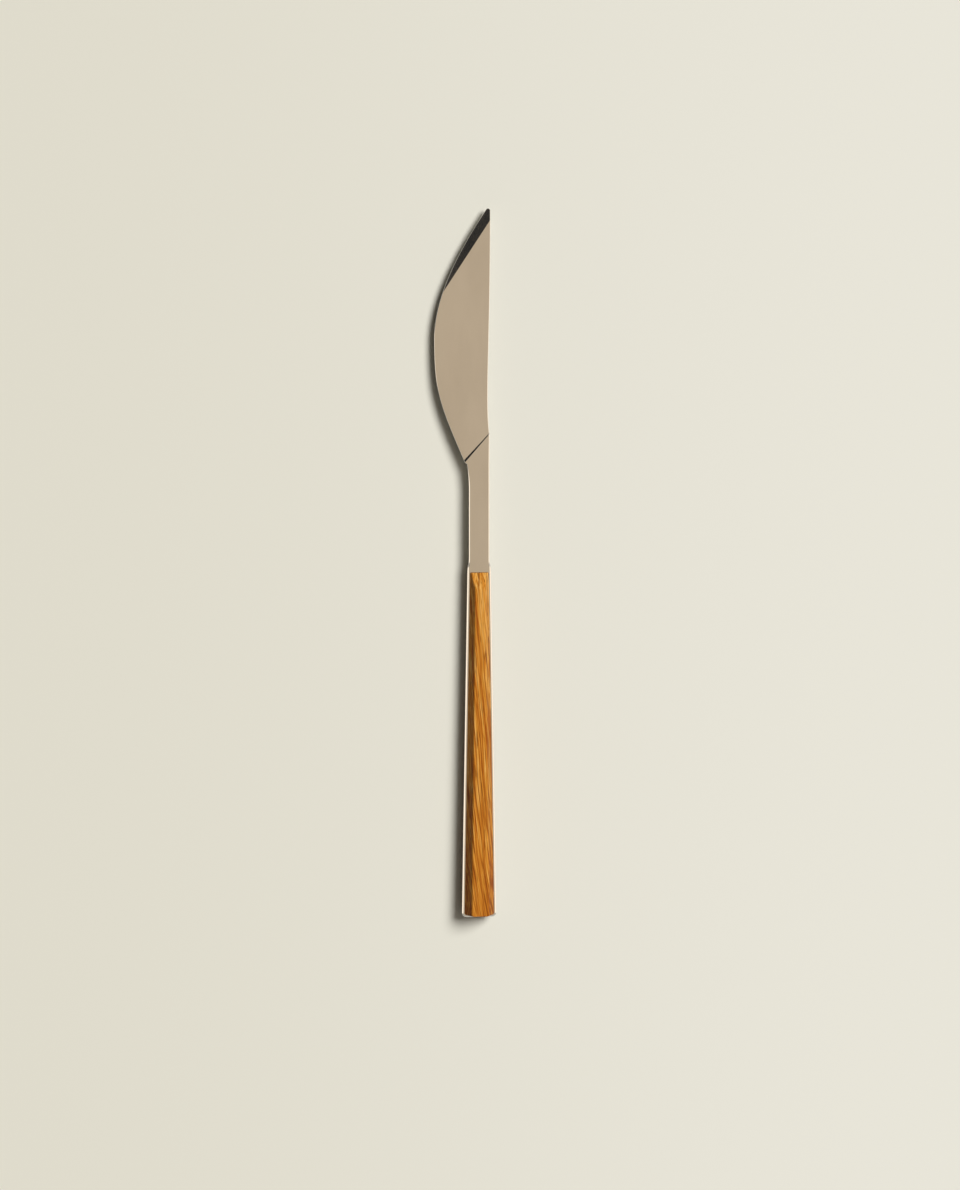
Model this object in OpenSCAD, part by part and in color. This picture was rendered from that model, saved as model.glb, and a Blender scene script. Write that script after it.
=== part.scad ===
// Butter knife: a ground steel blank with two bevelled wooden scales, glue films and blind pins.
// The knife is drawn with its blank's middle plane at z = 0, the handle's axis along y and the
// handle's end at y = 0. It is then laid on the flat back of the rear scale.

/* [Blade] */
// Length of the blade from its heel corner to the tip
blade_length = 71; // [62:0.5:84]
// Distance from the heel corner to the widest place, along the knife
belly_position = 34.8; // [30:0.2:38]
// How far the edge stands out from the handle's axis at the widest place
belly_reach = 12.5; // [10:0.1:15]
// How far the heel corner stands out from the handle's axis
heel_reach = 4.05; // [3.7:0.05:4.6]
// Angle between the edge and the knife's axis at the heel
heel_angle = 23.2; // [18:0.2:28]
// Distance of the spine from the handle's axis, near the tip
spine_reach = 3.15; // [2.9:0.05:3.6]
// Angle by which the spine leans in where it leaves the neck
spine_lean = 5.6; // [2:0.2:8]
// Angle between edge and spine at the tip
tip_angle = 33.6; // [30:0.2:38]
// Radius of the tip
tip_radius = 0.6; // [0.4:0.05:0.9]

/* [Grind] */
// Thickness of the blade at the spine where it leaves the neck
spine_thickness = 2.2; // [2:0.05:2.35]
// Thickness of the blade at the spine near the tip
tip_thickness = 1.1; // [0.9:0.05:1.4]
// Thickness of the edge at the widest place
edge_thickness = 0.56; // [0.46:0.02:0.8]
// Angle of the step from neck to blade, seen from the front
plunge_angle = 49; // [40:0.5:55]
// Steepness of that step
plunge_slope = 28; // [20:1:60]
// Distance from the tip to the place where the tip facet meets the spine
facet_drop = 3.2; // [2.4:0.1:4.5]
// Angle between the tip facet's inner line and the knife's axis
facet_turn = 33.3; // [31:0.1:36]
// Tilt of the tip facet against the blade's face
facet_tilt = 6.8; // [4:0.2:8]

/* [Neck] */
// Length of the neck from the scales to the heel corner
neck_length = 31; // [24:0.5:40]
// Width of the neck
neck_width = 5.75; // [5:0.05:6.2]
// Thickness of the steel blank
blank_thickness = 2.4; // [2.36:0.02:3]
// Length over which the neck widens towards the heel
flare_length = 13; // [8:0.5:18]
// How far the neck stands out from the axis just under the heel corner
flare_reach = 3.45; // [3.2:0.05:3.65]
// Angle between the neck's side and the knife's axis just under the heel corner
flare_angle = 9; // [5:0.5:12]
// Height of the small step from the neck up to the heel corner
heel_step = 0.45; // [0.3:0.05:0.8]
// Length of the shoulder between neck and tang
shoulder_length = 4.2; // [3:0.1:6]

/* [Handle] */
// Length of the tang, from the handle's end to the front of the scales
handle_length = 98; // [88:1:110]
// Width of the tang at the front of the scales
tang_width_front = 6.6; // [6.3:0.05:7.4]
// Width of the tang at the handle's end
tang_width_end = 9.7; // [8.6:0.1:11]
// Radius of the tang's end corners
tang_corner = 1.2; // [0.9:0.05:2]
// Width of bare steel left on each side of the scales
rim_width = 0.65; // [0.5:0.05:0.8]
// Chamfer along the tang's bare edges
rim_chamfer = 0.4; // [0.2:0.05:0.5]
// Height of a scale where its sloping front begins
scale_height_front = 2.3; // [2:0.05:2.6]
// Height of a scale at the handle's end
scale_height_end = 3.1; // [2.8:0.05:3.6]
// Length of the sloping front of a scale
ramp_length = 4.6; // [3:0.1:7]
// Height of the scale's front edge
lip_height = 0.6; // [0.4:0.05:0.9]
// Angle of the scale's side bevels
bevel_angle = 59.3; // [55:0.1:64]
// Thickness of the glue under a scale
glue_thickness = 0.1; // [0.06:0.01:0.2]
// How far the glue stays behind the scale's outline
glue_setback = 0.2; // [0.1:0.05:0.4]

/* [Pins] */
// Diameter of the blind pins
pin_diameter = 2; // [1.5:0.1:2.4]
// How far a pin reaches into each scale
pin_reach = 1.4; // [1:0.05:1.5]
// Room around a pin
pin_clearance = 0.03; // [0.02:0.01:0.06]
// Room beyond a pin's end
pin_end_room = 0.15; // [0.1:0.05:0.25]
// Chamfer of a pin's ends
pin_chamfer = 0.2; // [0.1:0.05:0.35]
// Distance from the handle's end to the lower pin
pin_first = 19; // [14:0.5:24]
// Distance from one pin to the next
pin_pitch = 30; // [24:0.5:31]

/* [Hidden] */
$fn = 64;

// Steps in a drawn curve
curve_steps = 28;
small_curve_steps = 12;
// Side of the block used for a flat cut
cut_size = 500;
// How far each curve holds the direction of its end, as a part of its own length
root_hold = 0.182;
spine_hold = 0.595;
tip_hold = 0.406;
belly_hold_up = 0.313;
belly_hold_down = 0.427;
heel_hold = 0.523;
flare_hold = 0.35;
neck_hold = 0.45;
shoulder_hold = 0.5;

blank_half = blank_thickness / 2;
neck_half = neck_width / 2;
neck_start = handle_length + shoulder_length;
heel_y = handle_length + neck_length;
tip_y = heel_y + blade_length;
belly_y = heel_y + belly_position;
tip_stretch = blade_length - belly_position;
root_y = heel_y + (heel_reach + neck_half) * tan(plunge_angle);
root = [neck_half, root_y];
spine_length = tip_y - root_y;

// The blade's face: slope along the knife and across it
slope_along = (tip_thickness - spine_thickness) / 2 / spine_length;
face_at_belly = spine_thickness / 2 + slope_along * (belly_y - root_y);
slope_across = (face_at_belly - edge_thickness / 2) / (neck_half + belly_reach);
face_slope = [slope_across, slope_along];

// The scale: half widths of its base, and its seat on the blank
base_front = tang_width_front / 2 - rim_width;
base_end = tang_width_end / 2 - rim_width;
side_turn = atan((base_end - base_front) / handle_length);
seat = blank_half + glue_thickness;
ramp_start = handle_length - ramp_length;

// How the knife lies: the middle of the rear scale's flat back, and its tilt
rest_length = ramp_start - rim_width;
rest_mid = (ramp_start + rim_width) / 2;
rest_depth = seat + (scale_height_front + scale_height_end) / 2;
rest_tilt = atan((scale_height_end - scale_height_front) / rest_length);

// The lower, middle and upper pin, and the holes that they share
pin_count = 3;
pin_length = blank_thickness + 2 * glue_thickness + 2 * pin_reach;
pin_hole = pin_diameter + 2 * pin_clearance;
pin_hole_length = pin_length + 2 * pin_end_room;

// Unit vector in the plane, turned left from the knife's axis
function turned(a) = [-sin(a), cos(a)];

// Unit vector out of the handle's left (-1) or right (1) side
function outward(side) = [side * cos(side_turn), sin(side_turn)];

// Points of a smooth curve between two ends, without its first point
function curve(p, q, r, s, n = curve_steps) =
    [for (i = [1:n])
        let (t = i / n, u = 1 - t)
        u * u * u * p + 3 * u * u * t * q + 3 * u * t * t * r + t * t * t * s];

// Points of a round corner
function corner(c, r, from, to, n = small_curve_steps) =
    [for (i = [0:n])
        let (a = from + (to - from) * i / n)
        c + r * [cos(a), sin(a)]];

// Height of the blade's face over the middle plane
function face_height(p) = spine_thickness / 2 + face_slope * (p - root);

// Outline of the blank, from the end corner on the spine side up to the tip and back down
tip_centre = [spine_reach - tip_radius, tip_y - tip_radius];
tip_end = tip_centre + tip_radius * [-cos(tip_angle), sin(tip_angle)];
spine_end = [spine_reach, tip_centre.y];
belly = [-belly_reach, belly_y];
heel = [-heel_reach, heel_y];
neck_top = [-flare_reach, heel_y - heel_step];
flare_start = [-neck_half, heel_y - flare_length];
end_middle = tang_width_end / 2 - tang_corner;
shoulder_lead = [0, shoulder_hold * shoulder_length];
shoulder_out = [tang_width_front / 2, handle_length];
shoulder_in = [neck_half, neck_start];

function across(p) = [-p.x, p.y];

outline = concat(
    corner([end_middle, tang_corner], tang_corner, -90, 0),
    [shoulder_out],
    curve(shoulder_out, shoulder_out + shoulder_lead, shoulder_in - shoulder_lead, shoulder_in,
          small_curve_steps),
    [root],
    curve(root, root + root_hold * spine_length * turned(spine_lean),
          spine_end - [0, spine_hold * spine_length], spine_end),
    corner(tip_centre, tip_radius, 0, 180 - tip_angle),
    curve(tip_end, tip_end - tip_hold * tip_stretch * turned(-tip_angle),
          belly + [0, belly_hold_up * tip_stretch], belly),
    curve(belly, belly - [0, belly_hold_down * belly_position],
          heel + heel_hold * belly_position * turned(heel_angle), heel),
    [neck_top],
    curve(neck_top, neck_top - flare_hold * flare_length * turned(flare_angle),
          flare_start + [0, neck_hold * flare_length], flare_start, small_curve_steps),
    [across(shoulder_in)],
    curve(across(shoulder_in), across(shoulder_in) - shoulder_lead,
          across(shoulder_out) + shoulder_lead, across(shoulder_out), small_curve_steps),
    corner([-end_middle, tang_corner], tang_corner, 180, 270)
);

// Outline of a scale's base, drawn in by a given amount
function base_outline(inset) =
    let (r = tang_corner - rim_width,
         c = [base_end - inset - r, rim_width + inset + r],
         f = [base_front - inset, handle_length - inset])
    concat(corner(c, r, -90, 0), [f, across(f)], corner(across(c), r, 180, 270));

// Everything above a sloping plane through a point
module above_plane(p, slope) {
    n = norm([slope.x, slope.y, 1]);
    translate(p)
        rotate([asin(slope.y / n), atan(-slope.x), 0])
            translate([-cut_size / 2, -cut_size / 2, 0])
                cube(cut_size);
}

// Both faces of the blank alike
module both_faces() {
    for (way = [0, 1])
        mirror([0, 0, way])
            children();
}

// Puts the knife down on the rear scale's flat back, whose middle is the origin
module laid() {
    rotate([-rest_tilt, 0, 0])
        translate([0, -rest_mid, rest_depth])
            children();
}

module at_pin(number) {
    translate([0, pin_first + number * pin_pitch, 0])
        children();
}

module pin_holes() {
    for (number = [0:pin_count - 1])
        at_pin(number)
            cylinder(h = pin_hole_length, d = pin_hole, center = true);
}

// Ground-off steel over the blade: the face, the step at the neck and the tip facet
module grind() {
    step_slope = -tan(plunge_slope) * turned(plunge_angle);
    facet_point = [spine_reach, tip_y - facet_drop];
    facet_slope = face_slope - tan(facet_tilt) * turned(90 - facet_turn);
    intersection() {
        above_plane([root.x, root.y, face_height(root)], face_slope);
        above_plane([root.x, root.y, blank_half], step_slope);
    }
    above_plane([facet_point.x, facet_point.y, face_height(facet_point)], facet_slope);
}

// Steel outside the tang's chamfers, on the front
module rim_cuts() {
    height = blank_half - rim_chamfer;
    intersection() {
        translate([-cut_size / 2, neck_start - cut_size, 0])
            cube(cut_size);
        union() {
            for (side = [-1, 1])
                above_plane([side * tang_width_front / 2, handle_length, height], -outward(side));
            above_plane([0, 0, height], [0, 1]);
        }
    }
}

module blade_and_tang() {
    color("silver")
        laid()
            difference() {
                translate([0, 0, -blank_half])
                    linear_extrude(height = blank_thickness)
                        polygon(outline);
                both_faces() {
                    grind();
                    rim_cuts();
                }
                pin_holes();
            }
}

// One side bevel of the scale, as everything outside it
module bevel_cut(side) {
    above_plane([side * base_front, handle_length, seat], -tan(bevel_angle) * outward(side));
}

// A scale on the front of the blank
module scale_body() {
    profile = [[rim_width, 0], [handle_length, 0], [handle_length, lip_height],
               [ramp_start, scale_height_front], [rim_width, scale_height_end]];
    difference() {
        intersection() {
            translate([0, 0, seat])
                linear_extrude(height = scale_height_end)
                    polygon(base_outline(0));
            translate([0, 0, seat])
                rotate([90, 0, 90])
                    linear_extrude(height = tang_width_end, center = true)
                        polygon(profile);
        }
        bevel_cut(1);
        bevel_cut(-1);
        pin_holes();
    }
}

module front_scale() {
    color("peru")
        laid()
            scale_body();
}

module rear_scale() {
    color("peru")
        laid()
            mirror([0, 0, 1])
                scale_body();
}

// The bond line under a scale, with the pins' holes
module glue_film() {
    difference() {
        translate([0, 0, blank_half])
            linear_extrude(height = glue_thickness)
                polygon(base_outline(glue_setback));
        pin_holes();
    }
}

module front_glue_film() {
    color("saddlebrown")
        laid()
            glue_film();
}

module rear_glue_film() {
    color("saddlebrown")
        laid()
            mirror([0, 0, 1])
                glue_film();
}

module pin() {
    r = pin_diameter / 2;
    straight = pin_length - 2 * pin_chamfer;
    cylinder(h = straight, r = r, center = true);
    both_faces()
        translate([0, 0, straight / 2])
            cylinder(h = pin_chamfer, r1 = r, r2 = r - pin_chamfer);
}

module lower_pin() {
    color("gray")
        laid()
            at_pin(0)
                pin();
}

module middle_pin() {
    color("gray")
        laid()
            at_pin(1)
                pin();
}

module upper_pin() {
    color("gray")
        laid()
            at_pin(2)
                pin();
}

blade_and_tang();
front_scale();
rear_scale();
front_glue_film();
rear_glue_film();
lower_pin();
middle_pin();
upper_pin();
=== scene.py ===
import math

import bmesh
import bpy
from mathutils import Matrix, Vector


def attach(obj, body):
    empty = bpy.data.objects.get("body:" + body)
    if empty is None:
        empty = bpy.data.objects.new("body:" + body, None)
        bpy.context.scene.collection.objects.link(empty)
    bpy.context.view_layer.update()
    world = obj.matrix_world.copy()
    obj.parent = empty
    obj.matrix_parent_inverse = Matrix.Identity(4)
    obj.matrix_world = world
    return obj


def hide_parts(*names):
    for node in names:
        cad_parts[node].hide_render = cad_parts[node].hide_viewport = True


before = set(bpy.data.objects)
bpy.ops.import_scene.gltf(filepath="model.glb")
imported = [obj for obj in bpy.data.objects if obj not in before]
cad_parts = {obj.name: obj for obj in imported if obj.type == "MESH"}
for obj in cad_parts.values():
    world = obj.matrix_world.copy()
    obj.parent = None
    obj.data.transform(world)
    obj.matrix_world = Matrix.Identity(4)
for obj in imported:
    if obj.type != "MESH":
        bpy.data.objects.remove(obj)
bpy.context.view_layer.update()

mm = 0.001
weldGap = 1e-5          # in millimetres, points closer than this become one
noiseMid = (0.3, 0.7)   # most values of a noise lie between these


# helpers for node trees, shared by the finishes and by Geometry Nodes

def feed(tree, socket, value):
    if isinstance(value, bpy.types.NodeSocket):
        tree.links.new(value, socket)
    else:
        socket.default_value = value


def addNode(tree, kind, inputs=None, **settings):
    node = tree.nodes.new(kind)
    for name, value in settings.items():
        setattr(node, name, value)
    for name, value in (inputs or {}).items():
        feed(tree, node.inputs[name], value)
    return node


def calc(tree, operation, *values):
    node = addNode(tree, "ShaderNodeMath", operation=operation)
    for socket, value in zip(node.inputs, values):
        feed(tree, socket, value)
    return node.outputs[0]


def total(tree, *weighted):
    # sum of (value, weight) pairs
    result = 0.0
    for value, weight in weighted:
        result = calc(tree, "MULTIPLY_ADD", value, weight, result)
    return result


def splitVector(tree, vector):
    return addNode(tree, "ShaderNodeSeparateXYZ", {"Vector": vector}).outputs


def joinVector(tree, x=0.0, y=0.0, z=0.0):
    return addNode(tree, "ShaderNodeCombineXYZ", {"X": x, "Y": y, "Z": z}).outputs[0]


def spread(tree, value, low, high, toLow=0.0, toHigh=1.0, smooth=False):
    node = addNode(tree, "ShaderNodeMapRange", {"Value": value, "From Min": low, "From Max": high,
                                                "To Min": toLow, "To Max": toHigh})
    node.interpolation_type = "SMOOTHSTEP" if smooth else "LINEAR"
    return node.outputs["Result"]


def blendColours(tree, factor, first, second):
    node = addNode(tree, "ShaderNodeMix", data_type="RGBA")
    for socket, value in ((node.inputs[0], factor), (node.inputs[6], first), (node.inputs[7], second)):
        feed(tree, socket, value)
    return node.outputs[2]


def ramp(tree, factor, stops):
    node = addNode(tree, "ShaderNodeValToRGB", {"Fac": factor})
    marks = node.color_ramp.elements
    while len(marks) < len(stops):
        marks.new(0.5)
    for mark, (place, shade) in zip(marks, stops):
        mark.position = place
        mark.color = shade
    return node.outputs["Color"]


def twoTones(tree, factor, finish):
    return ramp(tree, factor, [(noiseMid[0], finish["darkTone"]), (noiseMid[1], finish["lightTone"])])


def objectPlace(tree):
    return addNode(tree, "ShaderNodeTexCoord").outputs["Object"]


def stretched(tree, place, scale):
    return addNode(tree, "ShaderNodeMapping", {"Vector": place, "Scale": scale}).outputs[0]


def noise(tree, place, scale, detail=2.0, roughness=0.5):
    node = addNode(tree, "ShaderNodeTexNoise", {"Vector": place, "Scale": scale, "Detail": detail,
                                                "Roughness": roughness})
    return node.outputs["Fac"]


def bump(tree, height, strength, distance):
    node = addNode(tree, "ShaderNodeBump", {"Height": height, "Strength": strength, "Distance": distance})
    return node.outputs[0]


def newMaterial(name):
    material = bpy.data.materials.new(name)
    material.use_nodes = True
    tree = material.node_tree
    return material, tree, tree.nodes["Principled BSDF"].inputs


def screenColour(red, green, blue):
    # 0 to 255 as seen on screen, to linear light
    def toLinear(value):
        value = value / 255
        return value / 12.92 if value <= 0.04045 else ((value + 0.055) / 1.055) ** 2.4
    return (toLinear(red), toLinear(green), toLinear(blue), 1.0)


def grey(value):
    return (value, value, value, 1.0)


# helpers for meshes

def linkNew(name, mesh):
    piece = bpy.data.objects.new(name, mesh)
    bpy.context.scene.collection.objects.link(piece)
    return piece


def plainMesh(source):
    # what the object's modifiers make of it, as a mesh of its own
    graph = bpy.context.evaluated_depsgraph_get()
    mesh = bpy.data.meshes.new_from_object(source.evaluated_get(graph), depsgraph=graph)
    bpy.data.objects.remove(source)
    return mesh


def drilled(name, mesh, drill):
    piece = linkNew(name, mesh)
    holes = piece.modifiers.new("holes", "BOOLEAN")
    holes.operation = "DIFFERENCE"
    holes.solver = "EXACT"
    holes.object = drill
    return plainMesh(piece)


def evenNormals(name, mesh):
    # the large faces keep their own direction, the narrow softened edges turn between them
    piece = linkNew(name, mesh)
    normals = piece.modifiers.new("normals", "WEIGHTED_NORMAL")
    normals.weight = 100
    normals.keep_sharp = True
    return plainMesh(piece)


# steel blank: blade, neck and tang, in millimetres, handle end at y = 0, middle plane at z = 0

blank = {
    "bladeLength": 71.0,
    "bellyPosition": 34.8,
    "bellyReach": 12.5,
    "heelReach": 4.05,
    "heelAngle": 23.2,
    "spineReach": 3.15,
    "spineLean": 5.6,
    "tipAngle": 33.6,
    "tipRadius": 0.6,
    "spineThickness": 2.2,
    "tipThickness": 1.1,
    "edgeThickness": 0.56,
    "plungeAngle": 49.0,
    "plungeSlope": 28.0,
    "facetDrop": 3.2,
    "facetTurn": 33.3,
    "facetTilt": 6.8,
    "neckLength": 31.0,
    "neckWidth": 5.75,
    "thickness": 2.4,
    "flareLength": 13.0,
    "flareReach": 3.45,
    "flareAngle": 9.0,
    "heelStep": 0.45,
    "shoulderLength": 4.2,
    "handleLength": 98.0,
    "tangFront": 6.6,
    "tangEnd": 9.7,
    "tangCorner": 1.2,
    # how far each curve keeps to the direction of its end, as a share of its length
    "rootHold": 0.182,
    "spineHold": 0.595,
    "tipHold": 0.406,
    "bellyHoldUp": 0.313,
    "bellyHoldDown": 0.427,
    "heelHold": 0.523,
    "flareHold": 0.35,
    "neckHold": 0.45,
    "shoulderHold": 0.5,
    # edge chamfers, and their fall and the rounding beside them as shares of their width
    "rimChamfer": 0.4,
    "neckChamfer": 0.28,
    "spineChamfer": 0.2,
    "edgeChamfer": 0.09,
    "chamferFall": 0.81,
    "softShare": 0.22,
    "sharpTurn": 20.0,
    "cutGap": 1e-4,     # points this close to a crease lie on it
    # points along the outline's stretches
    "rimSteps": 24,
    "shoulderSteps": 12,
    "tipSteps": 16,
    "heelSteps": 2,
    "flareSteps": 20,
}

heelY = blank["handleLength"] + blank["neckLength"]
tipY = heelY + blank["bladeLength"]
neckHalf = blank["neckWidth"] / 2
blankHalf = blank["thickness"] / 2
heel = Vector((-blank["heelReach"], heelY))
plungeRise = (blank["heelReach"] + neckHalf) * math.tan(math.radians(blank["plungeAngle"]))
root = Vector((neckHalf, heelY + plungeRise))


def turned(degrees):
    # plan direction turned to the left from straight up the knife
    angle = math.radians(degrees)
    return Vector((-math.sin(angle), math.cos(angle)))


def across(point):
    return Vector((-point.x, point.y))


def straight(start, end, steps=8):
    return [start.lerp(end, i / steps) for i in range(1, steps + 1)]


def smoothCurve(p, q, r, s, steps=40):
    points = []
    for i in range(1, steps + 1):
        t = i / steps
        u = 1 - t
        points.append(u * u * u * p + 3 * u * u * t * q + 3 * u * t * t * r + t * t * t * s)
    return points


def roundCorner(centre, radius, fromAngle, toAngle, steps=12):
    angles = [math.radians(fromAngle + (toAngle - fromAngle) * i / steps) for i in range(steps + 1)]
    return [centre + radius * Vector((math.cos(a), math.sin(a))) for a in angles]


def blankOutline():
    b = blank
    spineLength = tipY - root.y
    tipStretch = b["bladeLength"] - b["bellyPosition"]
    tipCentre = Vector((b["spineReach"] - b["tipRadius"], tipY - b["tipRadius"]))
    tipEnd = tipCentre + b["tipRadius"] * turned(90 - b["tipAngle"])
    spineEnd = Vector((b["spineReach"], tipCentre.y))
    belly = Vector((-b["bellyReach"], heelY + b["bellyPosition"]))
    neckTop = Vector((-b["flareReach"], heelY - b["heelStep"]))
    flareStart = Vector((-neckHalf, heelY - b["flareLength"]))
    shoulderOut = Vector((b["tangFront"] / 2, b["handleLength"]))
    shoulderIn = Vector((neckHalf, b["handleLength"] + b["shoulderLength"]))
    lead = Vector((0, b["shoulderHold"] * b["shoulderLength"]))
    corner = Vector((b["tangEnd"] / 2 - b["tangCorner"], b["tangCorner"]))
    ahead = Vector((0, 1))

    # up the spine side, round the tip, down the edge side
    points = roundCorner(corner, b["tangCorner"], -90, 0)
    points += straight(points[-1], shoulderOut, b["rimSteps"])
    points += smoothCurve(shoulderOut, shoulderOut + lead, shoulderIn - lead, shoulderIn,
                          b["shoulderSteps"])
    points += straight(shoulderIn, root)
    points += smoothCurve(root, root + b["rootHold"] * spineLength * turned(b["spineLean"]),
                          spineEnd - b["spineHold"] * spineLength * ahead, spineEnd)
    points += roundCorner(tipCentre, b["tipRadius"], 0, 180 - b["tipAngle"], b["tipSteps"])[1:]
    points += smoothCurve(tipEnd, tipEnd - b["tipHold"] * tipStretch * turned(-b["tipAngle"]),
                          belly + b["bellyHoldUp"] * tipStretch * ahead, belly)
    points += smoothCurve(belly, belly - b["bellyHoldDown"] * b["bellyPosition"] * ahead,
                          heel + b["heelHold"] * b["bellyPosition"] * turned(b["heelAngle"]), heel)
    points += straight(heel, neckTop, b["heelSteps"])
    points += smoothCurve(neckTop, neckTop - b["flareHold"] * b["flareLength"] * turned(b["flareAngle"]),
                          flareStart + b["neckHold"] * b["flareLength"] * ahead, flareStart,
                          b["flareSteps"])
    points += straight(flareStart, across(shoulderIn))
    points += smoothCurve(across(shoulderIn), across(shoulderIn) - lead,
                          across(shoulderOut) + lead, across(shoulderOut), b["shoulderSteps"])
    cornerLeft = roundCorner(across(corner), b["tangCorner"], 180, 270)
    points += straight(across(shoulderOut), cornerLeft[0], b["rimSteps"])
    points += cornerLeft[1:]
    return points


# slopes of the flat-ground faces, each a plane over the plan
slopeAlong = (blank["tipThickness"] - blank["spineThickness"]) / 2 / (tipY - root.y)
faceAtBelly = blank["spineThickness"] / 2 + slopeAlong * (heelY + blank["bellyPosition"] - root.y)
slopeAcross = (faceAtBelly - blank["edgeThickness"] / 2) / (neckHalf + blank["bellyReach"])
faceSlope = Vector((slopeAcross, slopeAlong))
stepSlope = -math.tan(math.radians(blank["plungeSlope"])) * turned(blank["plungeAngle"])
facetSlope = faceSlope - math.tan(math.radians(blank["facetTilt"])) * turned(90 - blank["facetTurn"])
facetPoint = Vector((blank["spineReach"], tipY - blank["facetDrop"]))


def faceHeight(point):
    return blank["spineThickness"] / 2 + faceSlope.dot(point - root)


def surfaceHeight(point):
    step = blankHalf + stepSlope.dot(point - root)
    facet = faceHeight(facetPoint) + facetSlope.dot(point - facetPoint)
    return min(blankHalf, max(faceHeight(point), step), facet)


def creaseLines():
    # point and direction of the lines where the ground faces meet, seen from above
    plunge = turned(blank["plungeAngle"] - 90)
    fall = stepSlope - faceSlope
    footPoint = root + fall * ((faceHeight(root) - blankHalf) / fall.length_squared)
    foot = Vector((fall.y, -fall.x))
    return [(root, plunge), (footPoint, foot), (facetPoint, turned(-blank["facetTurn"]))]


def chamferWidth(point):
    # wide along the rims, narrower on the neck and spine, finest at the tip and along the edge
    b = blank
    stops = [(b["handleLength"], b["rimChamfer"]),
             (b["handleLength"] + b["shoulderLength"], b["neckChamfer"])]
    if point.x < 0:
        stops += [(heelY - b["flareLength"] / 2, b["neckChamfer"]),
                  (heelY - b["heelStep"], b["edgeChamfer"])]
    else:
        stops += [(heelY, b["neckChamfer"]), (root.y, b["spineChamfer"]),
                  (tipY - b["tipRadius"], b["edgeChamfer"])]
    for (fromY, fromWidth), (toY, toWidth) in zip(stops, stops[1:]):
        if point.y < toY:
            share = max((point.y - fromY) / (toY - fromY), 0)
            return fromWidth + (toWidth - fromWidth) * share
    return b["edgeChamfer"]


def edgeProfile(width):
    # inset from the outline and drop below the face, ring by ring, for one softened chamfer
    soft = width * blank["softShare"]
    corner = Vector((width, 0))
    start = Vector((width + soft, 0))
    end = corner + soft * Vector((-1, 1)).normalized()
    upper = [start, (start + 2 * corner + end) / 4, end]
    even = upper + [Vector((p.y, p.x)) for p in reversed(upper)]
    return [Vector((p.x, p.y * blank["chamferFall"])) for p in even]


def inwardWays(outline):
    # plan direction into the blank at each point, long enough to keep a corner's two sides parallel
    ways = []
    turns = []
    for i, point in enumerate(outline):
        before = (point - outline[i - 1]).normalized()
        after = (outline[(i + 1) % len(outline)] - point).normalized()
        ways.append(Vector((-before.y - after.y, before.x + after.x)) / (1 + before.dot(after)))
        turns.append(math.degrees(before.angle(after)))
    return ways, turns


def bridge(bm, first, second, turns):
    faces = zip(first, first[1:] + first[:1], second[1:] + second[:1], second)
    for corners in faces:
        bm.faces.new(corners)
    for one, other, turn in zip(first, second, turns):
        if turn > blank["sharpTurn"]:
            bm.edges.get((one, other)).smooth = False


def addHalf(bm, outline, ways, turns, side):
    # one face of the blank and the rings of its chamfered edge; gives back the outermost ring
    drop = bm.verts.layers.float["drop"]
    facing = bm.verts.layers.float["facing"]
    profiles = [edgeProfile(chamferWidth(point)) for point in outline]
    rings = []
    for level in range(len(profiles[0])):
        ring = []
        for point, way, profile in zip(outline, ways, profiles):
            place = point + way * profile[level].x
            vert = bm.verts.new((place.x, place.y, 0))
            vert[drop] = profile[level].y
            vert[facing] = side
            ring.append(vert)
        rings.append(ring)
    bm.faces.new(rings[0])
    for inner, outer in zip(rings, rings[1:]):
        bridge(bm, inner, outer, turns)
    return rings[-1]


def makeBlank(drill, steel):
    bm = bmesh.new()
    for helper in ("drop", "facing"):
        bm.verts.layers.float.new(helper)
    drop = bm.verts.layers.float["drop"]
    facing = bm.verts.layers.float["facing"]
    outline = blankOutline()
    ways, turns = inwardWays(outline)
    upperRing = addHalf(bm, outline, ways, turns, 1)
    lowerRing = addHalf(bm, outline, ways, turns, -1)
    bridge(bm, upperRing, lowerRing, turns)

    # still flat, the mesh is cut along the creases, and then every point gets its height
    for point, line in creaseLines():
        whole = bm.verts[:] + bm.edges[:] + bm.faces[:]
        cut = bmesh.ops.bisect_plane(bm, geom=whole, dist=blank["cutGap"],
                                     plane_co=(point.x, point.y, 0), plane_no=(line.y, -line.x, 0))
        for part in cut["geom_cut"]:
            if isinstance(part, bmesh.types.BMEdge) and part.verts[0][facing] == part.verts[1][facing]:
                part.smooth = False
    for vert in bm.verts:
        vert.co.z = vert[facing] * (surfaceHeight(vert.co.xy) - vert[drop])
    bmesh.ops.recalc_face_normals(bm, faces=bm.faces[:])
    for face in bm.faces:
        face.smooth = True
    mesh = bpy.data.meshes.new("blank")
    bm.to_mesh(mesh)
    bm.free()
    for helper in ("drop", "facing"):
        mesh.attributes.remove(mesh.attributes[helper])
    mesh.materials.append(steel)
    return evenNormals("blank", drilled("blank", mesh, drill))


# wooden scales: a Geometry Nodes tree lofts a bevelled, ramped bar over the tang

scale = {
    "rim": 0.65,
    "glue": 0.1,
    "heightFront": 2.3,
    "heightEnd": 3.1,
    "rampLength": 4.6,
    "lipHeight": 0.6,
    "bevelAngle": 59.3,
    "arris": 0.09,          # roundness of the long edges, as a share of the section
    "arrisSteps": 6,
    "footArris": 0.01,
    "endEase": 0.2,
    "rampEase": 0.35,
    "stations": 320,
    "sharpAngle": 50.0,
    "endMiddle": 0.45,      # where the end faces' middle lies, as a share of their height
}

seat = blankHalf + scale["glue"]
rampStart = blank["handleLength"] - scale["rampLength"]


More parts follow.
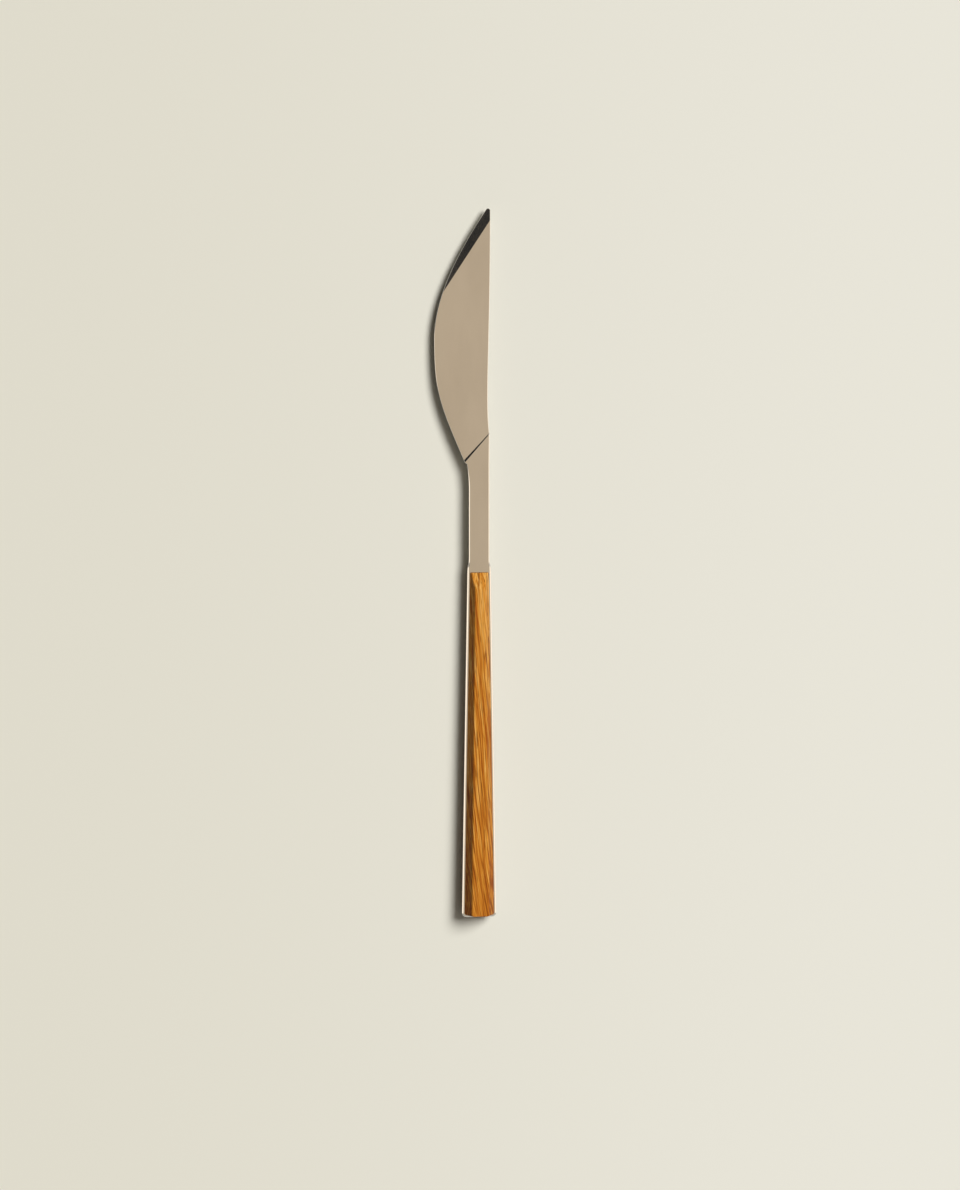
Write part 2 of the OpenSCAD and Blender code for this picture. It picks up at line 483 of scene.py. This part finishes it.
def newTree(name, numbers, counts, material):
    # gives back a tree, its named inputs, its outlet and the inputs' identifiers
    tree = bpy.data.node_groups.new(name, "GeometryNodeTree")
    kinds = [(label, "NodeSocketFloat") for label in numbers]
    kinds += [(label, "NodeSocketInt") for label in counts] + [(material, "NodeSocketMaterial")]
    keys = {}
    for label, kind in kinds:
        keys[label] = tree.interface.new_socket(label, in_out="INPUT", socket_type=kind).identifier
    tree.interface.new_socket("Geometry", in_out="OUTPUT", socket_type="NodeSocketGeometry")
    given = addNode(tree, "NodeGroupInput").outputs
    outlet = addNode(tree, "NodeGroupOutput").inputs[0]
    return tree, given, outlet, keys


def endTree(tree, geometry, material, outlet):
    whole = addNode(tree, "GeometryNodeRealizeInstances", {"Geometry": geometry})
    dressed = addNode(tree, "GeometryNodeSetMaterial", {"Geometry": whole.outputs[0],
                                                        "Material": material})
    tree.links.new(dressed.outputs[0], outlet)


def runTree(name, tree, keys, sizes):
    source = linkNew(name, bpy.data.meshes.new(name))
    modifier = source.modifiers.new("tree", "NODES")
    modifier.node_group = tree
    for label, value in sizes.items():
        modifier[keys[label]] = value
    mesh = plainMesh(source)
    mesh.materials.pop(index=0)     # the empty slot in front of the tree's own material
    return mesh


def scaleTree():
    tree, given, outlet, keys = newTree("bevelledScale", [
        "Length", "Base Front", "Base End", "Height Front", "Height End", "Ramp Length", "Lip Height",
        "Bevel Slope", "Arris", "Foot Arris", "Ramp Ease", "End Ease", "Corner Ease", "Side"],
        ["Stations", "Arris Steps"], "Wood")
    minus = "SUBTRACT"
    times = "MULTIPLY"

    # unit section: a square with eased upper corners, x from -1 to 1 and y from -0.5 to 0.5
    square = addNode(tree, "GeometryNodeCurvePrimitiveQuadrilateral", {"Width": 2.0, "Height": 1.0})
    cornerY = splitVector(tree, addNode(tree, "GeometryNodeInputPosition").outputs[0])["Y"]
    isUpper = calc(tree, "GREATER_THAN", cornerY, 0.0)
    radius = calc(tree, "MULTIPLY_ADD", isUpper, given["Arris"], given["Foot Arris"])
    eased = addNode(tree, "GeometryNodeFilletCurve", {"Curve": square.outputs[0], "Radius": radius,
                                                      "Count": given["Arris Steps"]}, mode="POLY")
    size = addNode(tree, "GeometryNodeAttributeDomainSize", {"Geometry": eased.outputs[0]},
                   component="CURVE")
    around = size.outputs["Point Count"]

    # a grid whose columns go round the section and whose rows are the stations
    rows = calc(tree, "ADD", given["Stations"], 2.0)
    lastRow = calc(tree, minus, rows, 1.0)
    grid = addNode(tree, "GeometryNodeMeshGrid", {"Size X": 1.0, "Size Y": 1.0})
    feed(tree, grid.inputs["Vertices X"], calc(tree, "ADD", around, 1.0))
    feed(tree, grid.inputs["Vertices Y"], rows)
    spot = splitVector(tree, addNode(tree, "GeometryNodeInputPosition").outputs[0])
    column = calc(tree, "ROUND", calc(tree, times, calc(tree, "ADD", spot["X"], 0.5), around))
    row = calc(tree, "ROUND", calc(tree, times, calc(tree, "ADD", spot["Y"], 0.5), lastRow))
    section = addNode(tree, "GeometryNodeSampleIndex", data_type="FLOAT_VECTOR", domain="POINT")
    feed(tree, section.inputs["Geometry"], eased.outputs[0])
    feed(tree, section.inputs["Value"], addNode(tree, "GeometryNodeInputPosition").outputs[0])
    feed(tree, section.inputs["Index"], calc(tree, "MODULO", column, around))
    unit = splitVector(tree, section.outputs[0])
    unitX = unit["X"]
    unitZ = calc(tree, "ADD", unit["Y"], 0.5)

    # stations crowd towards both ends; the first and last rows close the end faces
    along = calc(tree, "DIVIDE", calc(tree, minus, row, 1.0), calc(tree, minus, given["Stations"], 1.0))
    along = calc(tree, "MINIMUM", calc(tree, "MAXIMUM", along, 0.0), 1.0)
    along = calc(tree, "MULTIPLY_ADD", calc(tree, "COSINE", calc(tree, times, along, math.pi)), -0.5, 0.5)
    distance = calc(tree, times, along, given["Length"])
    left = calc(tree, minus, given["Length"], distance)
    isRing = calc(tree, times, calc(tree, "GREATER_THAN", row, 0.5),
                  calc(tree, "LESS_THAN", row, calc(tree, minus, lastRow, 0.5)))

    def inset(fromEnd, radius):
        # how far a rounded end draws the section in at a given distance from the end
        inside = calc(tree, minus, radius, calc(tree, "MINIMUM", fromEnd, radius))
        rest = calc(tree, minus, calc(tree, times, radius, radius), calc(tree, times, inside, inside))
        return calc(tree, minus, radius, calc(tree, "SQRT", calc(tree, "MAXIMUM", rest, 0.0)))

    # height: a flat falling to the front, then the ramp down to the lip
    flatLength = calc(tree, minus, given["Length"], given["Ramp Length"])
    drop = calc(tree, minus, given["Height Front"], given["Height End"])
    flat = calc(tree, "MULTIPLY_ADD", calc(tree, "DIVIDE", distance, flatLength), drop, given["Height End"])
    rampRise = calc(tree, minus, given["Height Front"], given["Lip Height"])
    rampSlope = calc(tree, "DIVIDE", rampRise, given["Ramp Length"])
    slope = calc(tree, "MULTIPLY_ADD", left, rampSlope, given["Lip Height"])
    height = calc(tree, "SMOOTH_MIN", flat, slope, given["Ramp Ease"])
    height = calc(tree, minus, height, inset(distance, given["End Ease"]))
    height = calc(tree, minus, height, inset(left, given["End Ease"]))
    widen = calc(tree, minus, given["Base Front"], given["Base End"])
    half = calc(tree, "MULTIPLY_ADD", along, widen, given["Base End"])
    half = calc(tree, minus, half, inset(distance, given["Corner Ease"]))
    half = calc(tree, minus, half, inset(left, given["End Ease"]))

    # the sides lean in with height; the closing rows gather in the middle of the end faces
    z = calc(tree, times, unitZ, height)
    x = calc(tree, times, unitX, calc(tree, minus, half, calc(tree, "DIVIDE", z, given["Bevel Slope"])))
    x = calc(tree, times, x, isRing)
    middle = calc(tree, times, height, scale["endMiddle"])
    z = calc(tree, "ADD", calc(tree, times, z, isRing),
             calc(tree, times, middle, calc(tree, minus, 1.0, isRing)))
    shape = joinVector(tree, x, distance, calc(tree, times, z, given["Side"]))
    moved = addNode(tree, "GeometryNodeSetPosition", {"Geometry": grid.outputs["Mesh"], "Position": shape})
    closed = addNode(tree, "GeometryNodeMergeByDistance", {"Geometry": moved.outputs[0],
                                                           "Distance": weldGap})
    endTree(tree, closed.outputs[0], given["Wood"], outlet)
    return tree, keys


def makeScale(name, side, tree, keys, drill, wood):
    mesh = runTree(name, tree, keys, {
        "Length": blank["handleLength"] - scale["rim"],
        "Base Front": blank["tangFront"] / 2 - scale["rim"],
        "Base End": blank["tangEnd"] / 2 - scale["rim"],
        "Height Front": scale["heightFront"],
        "Height End": scale["heightEnd"],
        "Ramp Length": scale["rampLength"],
        "Lip Height": scale["lipHeight"],
        "Bevel Slope": math.tan(math.radians(scale["bevelAngle"])),
        "Arris": scale["arris"],
        "Foot Arris": scale["footArris"],
        "Ramp Ease": scale["rampEase"],
        "End Ease": scale["endEase"],
        "Corner Ease": blank["tangCorner"] - scale["rim"],
        "Side": side,
        "Stations": scale["stations"],
        "Arris Steps": scale["arrisSteps"],
        "Wood": wood,
    })
    mesh.transform(Matrix.Translation((0, scale["rim"], side * seat)))
    bm = bmesh.new()
    bm.from_mesh(mesh)
    bmesh.ops.remove_doubles(bm, verts=bm.verts[:], dist=weldGap)
    bmesh.ops.recalc_face_normals(bm, faces=bm.faces[:])
    for face in bm.faces:
        face.smooth = True
    bm.to_mesh(mesh)
    bm.free()
    mesh = drilled(name, mesh, drill)
    mesh.set_sharp_from_angle(angle=math.radians(scale["sharpAngle"]))
    return evenNormals(name, mesh)


# blind pins: one turned dowel, set along the tang by Geometry Nodes

pin = {
    "diameter": 2.0,
    "reach": 1.4,           # into each scale
    "chamfer": 0.2,
    "first": 19.0,
    "pitch": 30.0,
    "count": 3,
    "clearance": 0.03,
    "endRoom": 0.15,
    "sides": 32,
    "ringSplit": 0.4,       # between the end rings and the rings inside them, as a share of the length
}


def pinTree():
    tree, given, outlet, keys = newTree("pinRow", ["Radius", "Length", "Chamfer", "First", "Pitch"],
                                        ["Count", "Sides"], "Steel")
    half = calc(tree, "MULTIPLY", given["Length"], 0.5)
    shoulder = calc(tree, "SUBTRACT", half, given["Chamfer"])
    nose = calc(tree, "DIVIDE", calc(tree, "SUBTRACT", given["Radius"], given["Chamfer"]), given["Radius"])
    bar = addNode(tree, "GeometryNodeMeshCylinder", {"Vertices": given["Sides"], "Side Segments": 3,
                                                     "Radius": given["Radius"], "Depth": given["Length"]})
    x, y, z = splitVector(tree, addNode(tree, "GeometryNodeInputPosition").outputs[0])

    # the end rings draw in to the nose, the rings between move out to the shoulders
    split = calc(tree, "MULTIPLY", given["Length"], pin["ringSplit"])
    isEnd = calc(tree, "GREATER_THAN", calc(tree, "ABSOLUTE", z), split)
    narrow = spread(tree, isEnd, 0.0, 1.0, 1.0, nose)
    reach = calc(tree, "MULTIPLY", calc(tree, "SIGN", z), spread(tree, isEnd, 0.0, 1.0, shoulder, half))
    shape = joinVector(tree, calc(tree, "MULTIPLY", x, narrow), calc(tree, "MULTIPLY", y, narrow), reach)
    dowel = addNode(tree, "GeometryNodeSetPosition", {"Geometry": bar.outputs["Mesh"], "Position": shape})
    row = addNode(tree, "GeometryNodeMeshLine", {"Count": given["Count"],
                                                 "Start Location": joinVector(tree, y=given["First"]),
                                                 "Offset": joinVector(tree, y=given["Pitch"])})
    placed = addNode(tree, "GeometryNodeInstanceOnPoints", {"Points": row.outputs[0],
                                                            "Instance": dowel.outputs[0]})
    endTree(tree, placed.outputs[0], given["Steel"], outlet)
    return tree, keys


def makePins(tree, keys, steel, clearance=0.0, endRoom=0.0):
    length = blank["thickness"] + 2 * scale["glue"] + 2 * pin["reach"]
    return runTree("pins", tree, keys, {
        "Radius": pin["diameter"] / 2 + clearance,
        "Length": length + 2 * endRoom,
        "Chamfer": pin["chamfer"],
        "First": pin["first"],
        "Pitch": pin["pitch"],
        "Count": pin["count"],
        "Sides": pin["sides"],
        "Steel": steel,
    })


# polished steel of the blank: fine lines along the knife under a slight haze

steelFinish = {
    "darkTone": (0.62, 0.595, 0.56, 1.0),
    "lightTone": (0.67, 0.645, 0.61, 1.0),
    "hazeScale": 130.0,
    "hazeStretch": (1.0, 0.4, 1.0),
    "lineScale": 7500.0,
    "lineStretch": (1.0, 0.02, 1.0),
    "lineSpan": (0.35, 0.65),
    "detail": 3.0,
    "roughness": (0.08, 0.12),
    "lineRoughness": 0.03,
    "lineBump": 0.035,
    "lineDepth": 0.00002,
}


def polishedSteel():
    f = steelFinish
    material, tree, shader = newMaterial("polishedSteel")
    lines = noise(tree, stretched(tree, objectPlace(tree), f["lineStretch"]), f["lineScale"], f["detail"])
    haze = noise(tree, stretched(tree, objectPlace(tree), f["hazeStretch"]), f["hazeScale"], f["detail"])
    feed(tree, shader["Base Color"], twoTones(tree, haze, f))
    shader["Metallic"].default_value = 1.0
    rough = calc(tree, "ADD", spread(tree, haze, *noiseMid, *f["roughness"]),
                 spread(tree, lines, *f["lineSpan"], 0.0, f["lineRoughness"]))
    feed(tree, shader["Roughness"], rough)
    feed(tree, shader["Normal"], bump(tree, lines, f["lineBump"], f["lineDepth"]))
    return material


# oiled wood of the scales: leaning growth lines, soft bands and fibres, short dark pores

woodFinish = {
    "lean": 0.09,               # drift of the grain across the handle for each unit along it
    "endStart": -0.026,         # from here to the handle end the grain leans further
    "endLean": 3.4,
    "sway": 0.0008,
    "swayScale": 35.0,
    "swayStretch": (0.3, 1.0, 0.3),
    # noises along the grain: scale, stretch along it, stretch through the thickness, detail, roughness
    "bands": (500.0, 0.03, 0.4, 2.0, 0.5),
    "streaks": (2100.0, 0.03, 0.4, 3.0, 0.6),
    "fibres": (4600.0, 0.02, 0.4, 2.0, 0.5),
    "wander": (300.0, 0.09, 0.5, 1.0, 0.5),
    "fade": (800.0, 0.05, 0.5, 2.0, 0.5),
    "pores": (3300.0, 0.04, 0.35, 2.0, 0.6),
    # ground tone: the wood's own colours, each raised a little, most in blue, as painted sheen of the key
    # that the wood does not mirror
    "groundShares": (0.2, 0.5, 0.3),    # of bands, streaks and fibres
    "tonesAndSheen": [(0.39, screenColour(147, 74, 17)), (0.46, screenColour(189, 113, 31)),
              (0.53, screenColour(212, 143, 52)), (0.60, screenColour(232, 174, 90))],
    "toneDrift": 0.8,           # the tone grows paler towards the neck
    # growth lines
    "linePitch": 0.0007,
    "lineTilt": 0.25,           # they lean through the thickness
    "lineWander": 1.3,
    "lineProfile": [(0.0, 1.0), (0.22, 0.2), (0.5, 0.0), (0.8, 0.12), (1.0, 1.0)],
    "lineFade": (0.38, 0.62, 0.2, 1.0),
    "lineStrength": 0.9,
    "lineColour": screenColour(120, 55, 6),
    # pores
    "poreSpan": (0.57, 0.68),
    "poreStrength": 0.68,
    "poreColour": screenColour(96, 42, 4),
    # sheen and relief
    "roughSpan": (0.35, 0.65),
    "roughness": (0.55, 0.45),
    "specular": 0.18,
    "relief": (0.4, -1.0, -0.3),        # of fibres, pores and growth lines
    "bump": 0.3,
    "bumpDepth": 0.00003,
}


def oiledWood():
    f = woodFinish
    material, tree, shader = newMaterial("oiledWood")
    place = objectPlace(tree)
    x, y, z = splitVector(tree, place)
    toEnd = calc(tree, "MAXIMUM", calc(tree, "SUBTRACT", f["endStart"], y), 0.0)
    sway = noise(tree, stretched(tree, place, f["swayStretch"]), f["swayScale"], detail=1.0)
    bent = total(tree, (x, 1.0), (y, f["lean"]), (calc(tree, "MULTIPLY", toEnd, toEnd), -f["endLean"]),
                 (spread(tree, sway, 0.0, 1.0, -1.0, 1.0), f["sway"]))
    grainPlace = joinVector(tree, bent, y, z)

    def alongGrain(name):
        fineness, stretch, depth, detail, roughness = f[name]
        return noise(tree, stretched(tree, grainPlace, (1.0, stretch, depth)), fineness, detail, roughness)

    # soft bands, streaks and fibres give the ground tone
    bands = alongGrain("bands")
    streaks = alongGrain("streaks")
    fibres = alongGrain("fibres")
    ground = total(tree, *zip((bands, streaks, fibres), f["groundShares"]), (y, f["toneDrift"]))
    # the tones carry the wood's colour and a little painted sheen of the key
    shade = ramp(tree, ground, f["tonesAndSheen"])

    # growth lines: a thin dark edge at each step, fading in and out along the handle
    wander = spread(tree, alongGrain("wander"), 0.0, 1.0, -1.0, 1.0)
    rings = total(tree, (bent, 1.0 / f["linePitch"]), (z, f["lineTilt"] / f["linePitch"]),
                  (wander, f["lineWander"]))
    edge = ramp(tree, calc(tree, "FRACT", rings), [(stop, grey(dark)) for stop, dark in f["lineProfile"]])
    fade = spread(tree, alongGrain("fade"), *f["lineFade"], smooth=True)
    isLine = calc(tree, "MULTIPLY", edge, fade)
    shade = blendColours(tree, calc(tree, "MULTIPLY", isLine, f["lineStrength"]), shade, f["lineColour"])

    # pores: short dark dashes along the grain
    isPore = spread(tree, alongGrain("pores"), *f["poreSpan"], smooth=True)
    shade = blendColours(tree, calc(tree, "MULTIPLY", isPore, f["poreStrength"]), shade, f["poreColour"])
    feed(tree, shader["Base Color"], shade)
    feed(tree, shader["Roughness"], spread(tree, ground, *f["roughSpan"], *f["roughness"]))
    shader["Specular IOR Level"].default_value = f["specular"]
    height = total(tree, *zip((fibres, isPore, isLine), f["relief"]))
    feed(tree, shader["Normal"], bump(tree, height, f["bump"], f["bumpDepth"]))
    return material


# cured glue in the seams

glueFinish = {
    "darkTone": screenColour(38, 20, 10),
    "lightTone": screenColour(62, 36, 18),
    "cloudScale": 900.0,
    "roughness": (0.25, 0.4),
}


def curedGlue():
    f = glueFinish
    material, tree, shader = newMaterial("curedGlue")
    cloud = noise(tree, objectPlace(tree), f["cloudScale"])
    feed(tree, shader["Base Color"], twoTones(tree, cloud, f))
    feed(tree, shader["Roughness"], spread(tree, cloud, *noiseMid, *f["roughness"]))
    return material


# ground steel of the pins: rings left by the grinding

pinFinish = {
    "darkTone": (0.42, 0.41, 0.40, 1.0),
    "lightTone": (0.56, 0.55, 0.54, 1.0),
    "ringScale": 6000.0,
    "ringStretch": (0.1, 0.1, 1.0),
    "roughness": (0.28, 0.42),
}


def groundSteel():
    f = pinFinish
    material, tree, shader = newMaterial("groundSteel")
    rings = noise(tree, stretched(tree, objectPlace(tree), f["ringStretch"]), f["ringScale"])
    feed(tree, shader["Base Color"], twoTones(tree, rings, f))
    shader["Metallic"].default_value = 1.0
    feed(tree, shader["Roughness"], spread(tree, rings, *noiseMid, *f["roughness"]))
    return material


# the knife lies on the rear scale's flat back, whose middle is the frame's origin
restMid = (rampStart + scale["rim"]) / 2
restDepth = seat + (scale["heightFront"] + scale["heightEnd"]) / 2
restTilt = math.atan((scale["heightEnd"] - scale["heightFront"]) / (rampStart - scale["rim"]))
toRest = Matrix.Translation((0, -restMid, restDepth))
laid = Matrix.Scale(mm, 4) @ Matrix.Rotation(-restTilt, 4, "X") @ toRest


def finishPiece(name, mesh, slot, *nodes):
    mesh.transform(laid)
    piece = linkNew(name, mesh)
    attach(piece, "root")
    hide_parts(*nodes)
    print(name, "has", len(mesh.polygons), "faces")


pinNodes, pinKeys = pinTree()
scaleNodes, scaleKeys = scaleTree()
pinSteel = groundSteel()
wood = oiledWood()
drill = linkNew("drill", makePins(pinNodes, pinKeys, pinSteel, pin["clearance"], pin["endRoom"]))
finishPiece("steelBlank", makeBlank(drill, polishedSteel()), "polished_steel", "blade_and_tang")
finishPiece("frontScale", makeScale("frontScale", 1.0, scaleNodes, scaleKeys, drill, wood),
            "oiled_wood", "front_scale")
finishPiece("rearScale", makeScale("rearScale", -1.0, scaleNodes, scaleKeys, drill, wood),
            "oiled_wood", "rear_scale")
finishPiece("blindPins", makePins(pinNodes, pinKeys, pinSteel), "pin_steel",
            "lower_pin", "middle_pin", "upper_pin")
bpy.data.objects.remove(drill)

glue = curedGlue()
for node in ("front_glue_film", "rear_glue_film"):
    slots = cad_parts[node].data.materials
    slots.clear()
    slots.append(glue)
print("glue films dressed")


# floor, world and key light

stage = {
    "floorSize": 60.0,
    "floorDrop": 0.00004,
    # the floor's colour is darker to the left and paler to the right: a painted falloff of the light
    "floorLeftPaintedShade": screenColour(222, 219, 205),
    "floorRightPaintedLight": screenColour(231, 229, 218),
    "floorBlend": 0.15,
    "floorBounce": (0.12, 0.115, 0.10, 1.0),
    "floorRoughness": 0.9,
    "floorSpecular": 0.1,
    "keyStrength": 3.28,
    "keyAngle": 28.0,
    "keyDirection": (0.41, 0.41, 0.81),
    # what the steel mirrors; spans are in the x, y or z of the direction that a ray takes
    "overhead": (0.71, 0.585, 0.43, 1.0),
    "overheadSpan": (0.75, 0.93),
    "roomLeft": (0.46, 0.44, 0.40, 1.0),
    "roomRight": (0.50, 0.48, 0.44, 1.0),
    "roomBlend": 0.3,
    "card": (0.03, 0.03, 0.03, 1.0),        # a black card from overhead down to the left, past the tip
    "cardFrom": (-0.16, 0.03),
    "cardTo": (-0.55, 0.47),
    "cardHalf": 0.10,
    "cardBlur": 0.12,
    "cardEndBlur": (0.2, 1.2),              # shares of the blur, past the card's ends
    "horizon": (0.78, 0.77, 0.69, 1.0),
    "horizonSpan": (0.01, 0.05),
    "hazeSpan": (0.05, 0.35),               # above the horizon its colour fades out
    "hazeShare": 0.6,
    "keyGlow": (1.5, 1.45, 1.35, 1.0),      # mirrored in the key's place
    "keyGlowBlur": 8.0,
    "sideLamps": (1.75, 1.54, 1.27, 1.0),   # two upright soft boxes, left and right of the handle
    "sideLampMid": -0.14,
    "sideLampHalf": 0.09,
    "sideLampBlur": 0.08,
    "sideLampTop": 0.42,
    "sideLampFade": 0.1,
    # what lights the wood and the floor beside the key
    "fillLeft": (0.03, 0.028, 0.025, 1.0),
    "fillRight": (0.10, 0.095, 0.09, 1.0),
    "fillSpan": (-0.13, 0.1),
    "fillOverhead": (0.62, 0.58, 0.52, 1.0),
    "fillOverheadRise": (0.8, 0.95),
    "fillOverheadSpan": (-0.13, 0.05),
    "fillNear": (0.5, 0.47, 0.43, 1.0),     # past the handle's end
    "fillNearSpan": (-0.85, -0.65),
}

keyWay = Vector(stage["keyDirection"]).normalized()


def isSeen(tree):
    # 1 for what the camera, a mirror or glass looks at, 0 for light on its way to a dull surface
    path = addNode(tree, "ShaderNodeLightPath").outputs
    mirrored = calc(tree, "MAXIMUM", path["Is Glossy Ray"], path["Is Transmission Ray"])
    return calc(tree, "MAXIMUM", path["Is Camera Ray"], mirrored)


def makeFloor():
    half = stage["floorSize"] / 2
    below = -stage["floorDrop"]
    mesh = bpy.data.meshes.new("floor")
    corners = [(-half, -half, below), (half, -half, below), (half, half, below), (-half, half, below)]
    mesh.from_pydata(corners, [], [(0, 1, 2, 3)])
    material, tree, shader = newMaterial("paleFloor")
    x = splitVector(tree, objectPlace(tree))["X"]
    # painted falloff of the light: the floor's colour darker on the left, paler on the right
    paleWithPaintedFalloff = blendColours(tree, spread(tree, x, -stage["floorBlend"], stage["floorBlend"], smooth=True),
                        stage["floorLeftPaintedShade"], stage["floorRightPaintedLight"])
    feed(tree, shader["Base Color"], blendColours(tree, isSeen(tree), stage["floorBounce"], paleWithPaintedFalloff))
    shader["Roughness"].default_value = stage["floorRoughness"]
    shader["Specular IOR Level"].default_value = stage["floorSpecular"]
    mesh.materials.append(material)
    linkNew("floor", mesh)


def makeWorld():
    world = bpy.data.worlds.new("studio")
    bpy.context.scene.world = world
    world.use_nodes = True
    tree = world.node_tree
    x, y, z = splitVector(tree, addNode(tree, "ShaderNodeTexCoord").outputs["Generated"])

    def soft(value, low, high, toLow=0.0, toHigh=1.0):
        return spread(tree, value, low, high, toLow, toHigh, smooth=True)

    # mirrored: warm overhead and a cooler room, with the black card in front of them
    s = stage
    room = blendColours(tree, soft(x, -s["roomBlend"], s["roomBlend"]), s["roomLeft"], s["roomRight"])
    seen = blendColours(tree, soft(z, *s["overheadSpan"]), room, s["overhead"])
    start = Vector(s["cardFrom"])
    end = Vector(s["cardTo"])
    way = (end - start).normalized()
    along = total(tree, (x, way.x), (y, way.y))
    offset = start.y * way.x - start.x * way.y
    aside = calc(tree, "ABSOLUTE", total(tree, (x, way.y), (y, -way.x), (1.0, offset)))
    near, far = [share * s["cardBlur"] for share in s["cardEndBlur"]]
    inLength = calc(tree, "MULTIPLY", soft(along, start.dot(way) - far, start.dot(way) - near),
                    soft(along, end.dot(way) + near, end.dot(way) + far, 1.0, 0.0))
    inWidth = soft(aside, s["cardHalf"], s["cardHalf"] + s["cardBlur"], 1.0, 0.0)
    seen = blendColours(tree, calc(tree, "MULTIPLY", inWidth, inLength), seen, s["card"])

    # paler towards the horizon, then the key's glow and the two side lamps
    seen = blendColours(tree, soft(z, *s["hazeSpan"], s["hazeShare"], 0.0), seen, s["horizon"])
    glowHalf = s["keyAngle"] / 2
    glowRim = math.cos(math.radians(glowHalf + s["keyGlowBlur"]))
    toKey = total(tree, (x, keyWay.x), (y, keyWay.y), (z, keyWay.z))
    isGlow = soft(toKey, glowRim, math.cos(math.radians(glowHalf)))
    seen = blendColours(tree, isGlow, seen, s["keyGlow"])
    offLamp = calc(tree, "ABSOLUTE", calc(tree, "SUBTRACT", y, s["sideLampMid"]))
    isLow = soft(z, s["sideLampTop"], s["sideLampTop"] + s["sideLampFade"], 1.0, 0.0)
    isBeside = soft(offLamp, s["sideLampHalf"], s["sideLampHalf"] + s["sideLampBlur"], 1.0, 0.0)
    seen = blendColours(tree, calc(tree, "MULTIPLY", isLow, isBeside), seen, s["sideLamps"])
    seen = blendColours(tree, soft(z, *s["horizonSpan"], 1.0, 0.0), seen, s["horizon"])

    # lighting dull surfaces: from above, a little from the right and onto the handle's end
    fill = blendColours(tree, soft(x, *s["fillSpan"]), s["fillLeft"], s["fillRight"])
    isAbove = calc(tree, "MULTIPLY", soft(z, *s["fillOverheadRise"]), soft(x, *s["fillOverheadSpan"]))
    fill = blendColours(tree, isAbove, fill, s["fillOverhead"])
    fill = blendColours(tree, soft(y, *s["fillNearSpan"], 1.0, 0.0), fill, s["fillNear"])
    feed(tree, tree.nodes["Background"].inputs["Color"], blendColours(tree, isSeen(tree), fill, seen))


def makeKey():
    data = bpy.data.lights.new("key", "SUN")
    data.energy = stage["keyStrength"]
    data.angle = math.radians(stage["keyAngle"])
    lamp = bpy.data.objects.new("key", data)
    lamp.location = keyWay
    lamp.rotation_mode = "QUATERNION"
    lamp.rotation_quaternion = keyWay.to_track_quat("Z", "Y")
    lamp.visible_glossy = False     # steel mirrors the glow in its place
    bpy.context.scene.collection.objects.link(lamp)


# camera at the photograph's angle, looking down on the knife

photo = {
    "width": 960,
    "height": 1190,
    "pixelsPerMillimetre": 3.572,
    "aimPixel": (478.8, 564.8),     # where the knife's mid length on its axis falls in the picture
    "aimPlace": (0.0, 100.0, 0.0),
    "pitch": 8.0,                   # towards the tip
    "sway": 6.5,                    # towards the edge side
    "distance": 2000.0,
    "sensor": 36.0,
    "nearest": 0.05,
    "farthest": 50.0,
}


def makeCamera():
    pitch = math.radians(photo["pitch"])
    sway = math.radians(photo["sway"])
    turn = Matrix.Rotation(-restTilt, 3, "X")
    level = math.cos(pitch)
    back = turn @ Vector((-math.sin(sway) * level, math.sin(pitch), math.cos(sway) * level))
    along = turn @ Vector((0, 1, 0))
    tall = (along - back * back.dot(along)).normalized()
    right = tall.cross(back)
    shiftX = (photo["width"] / 2 - photo["aimPixel"][0]) / photo["pixelsPerMillimetre"]
    shiftY = (photo["height"] / 2 - photo["aimPixel"][1]) / photo["pixelsPerMillimetre"]
    aim = laid @ Vector(photo["aimPlace"]) + (right * shiftX - tall * shiftY) * mm
    data = bpy.data.cameras.new("camera")
    data.sensor_width = photo["sensor"]
    data.lens = photo["pixelsPerMillimetre"] * photo["distance"] * photo["sensor"] / photo["height"]
    data.clip_start = photo["nearest"]
    data.clip_end = photo["farthest"]
    camera = bpy.data.objects.new("camera", data)
    camera.matrix_world = Matrix.Translation(aim + back * photo["distance"] * mm) @ Matrix(
        (right, tall, back)).transposed().to_4x4()
    bpy.context.scene.collection.objects.link(camera)
    bpy.context.scene.camera = camera


makeFloor()
makeWorld()
makeKey()
makeCamera()
bpy.context.scene.view_settings.view_transform = "Standard"
print("stage set")
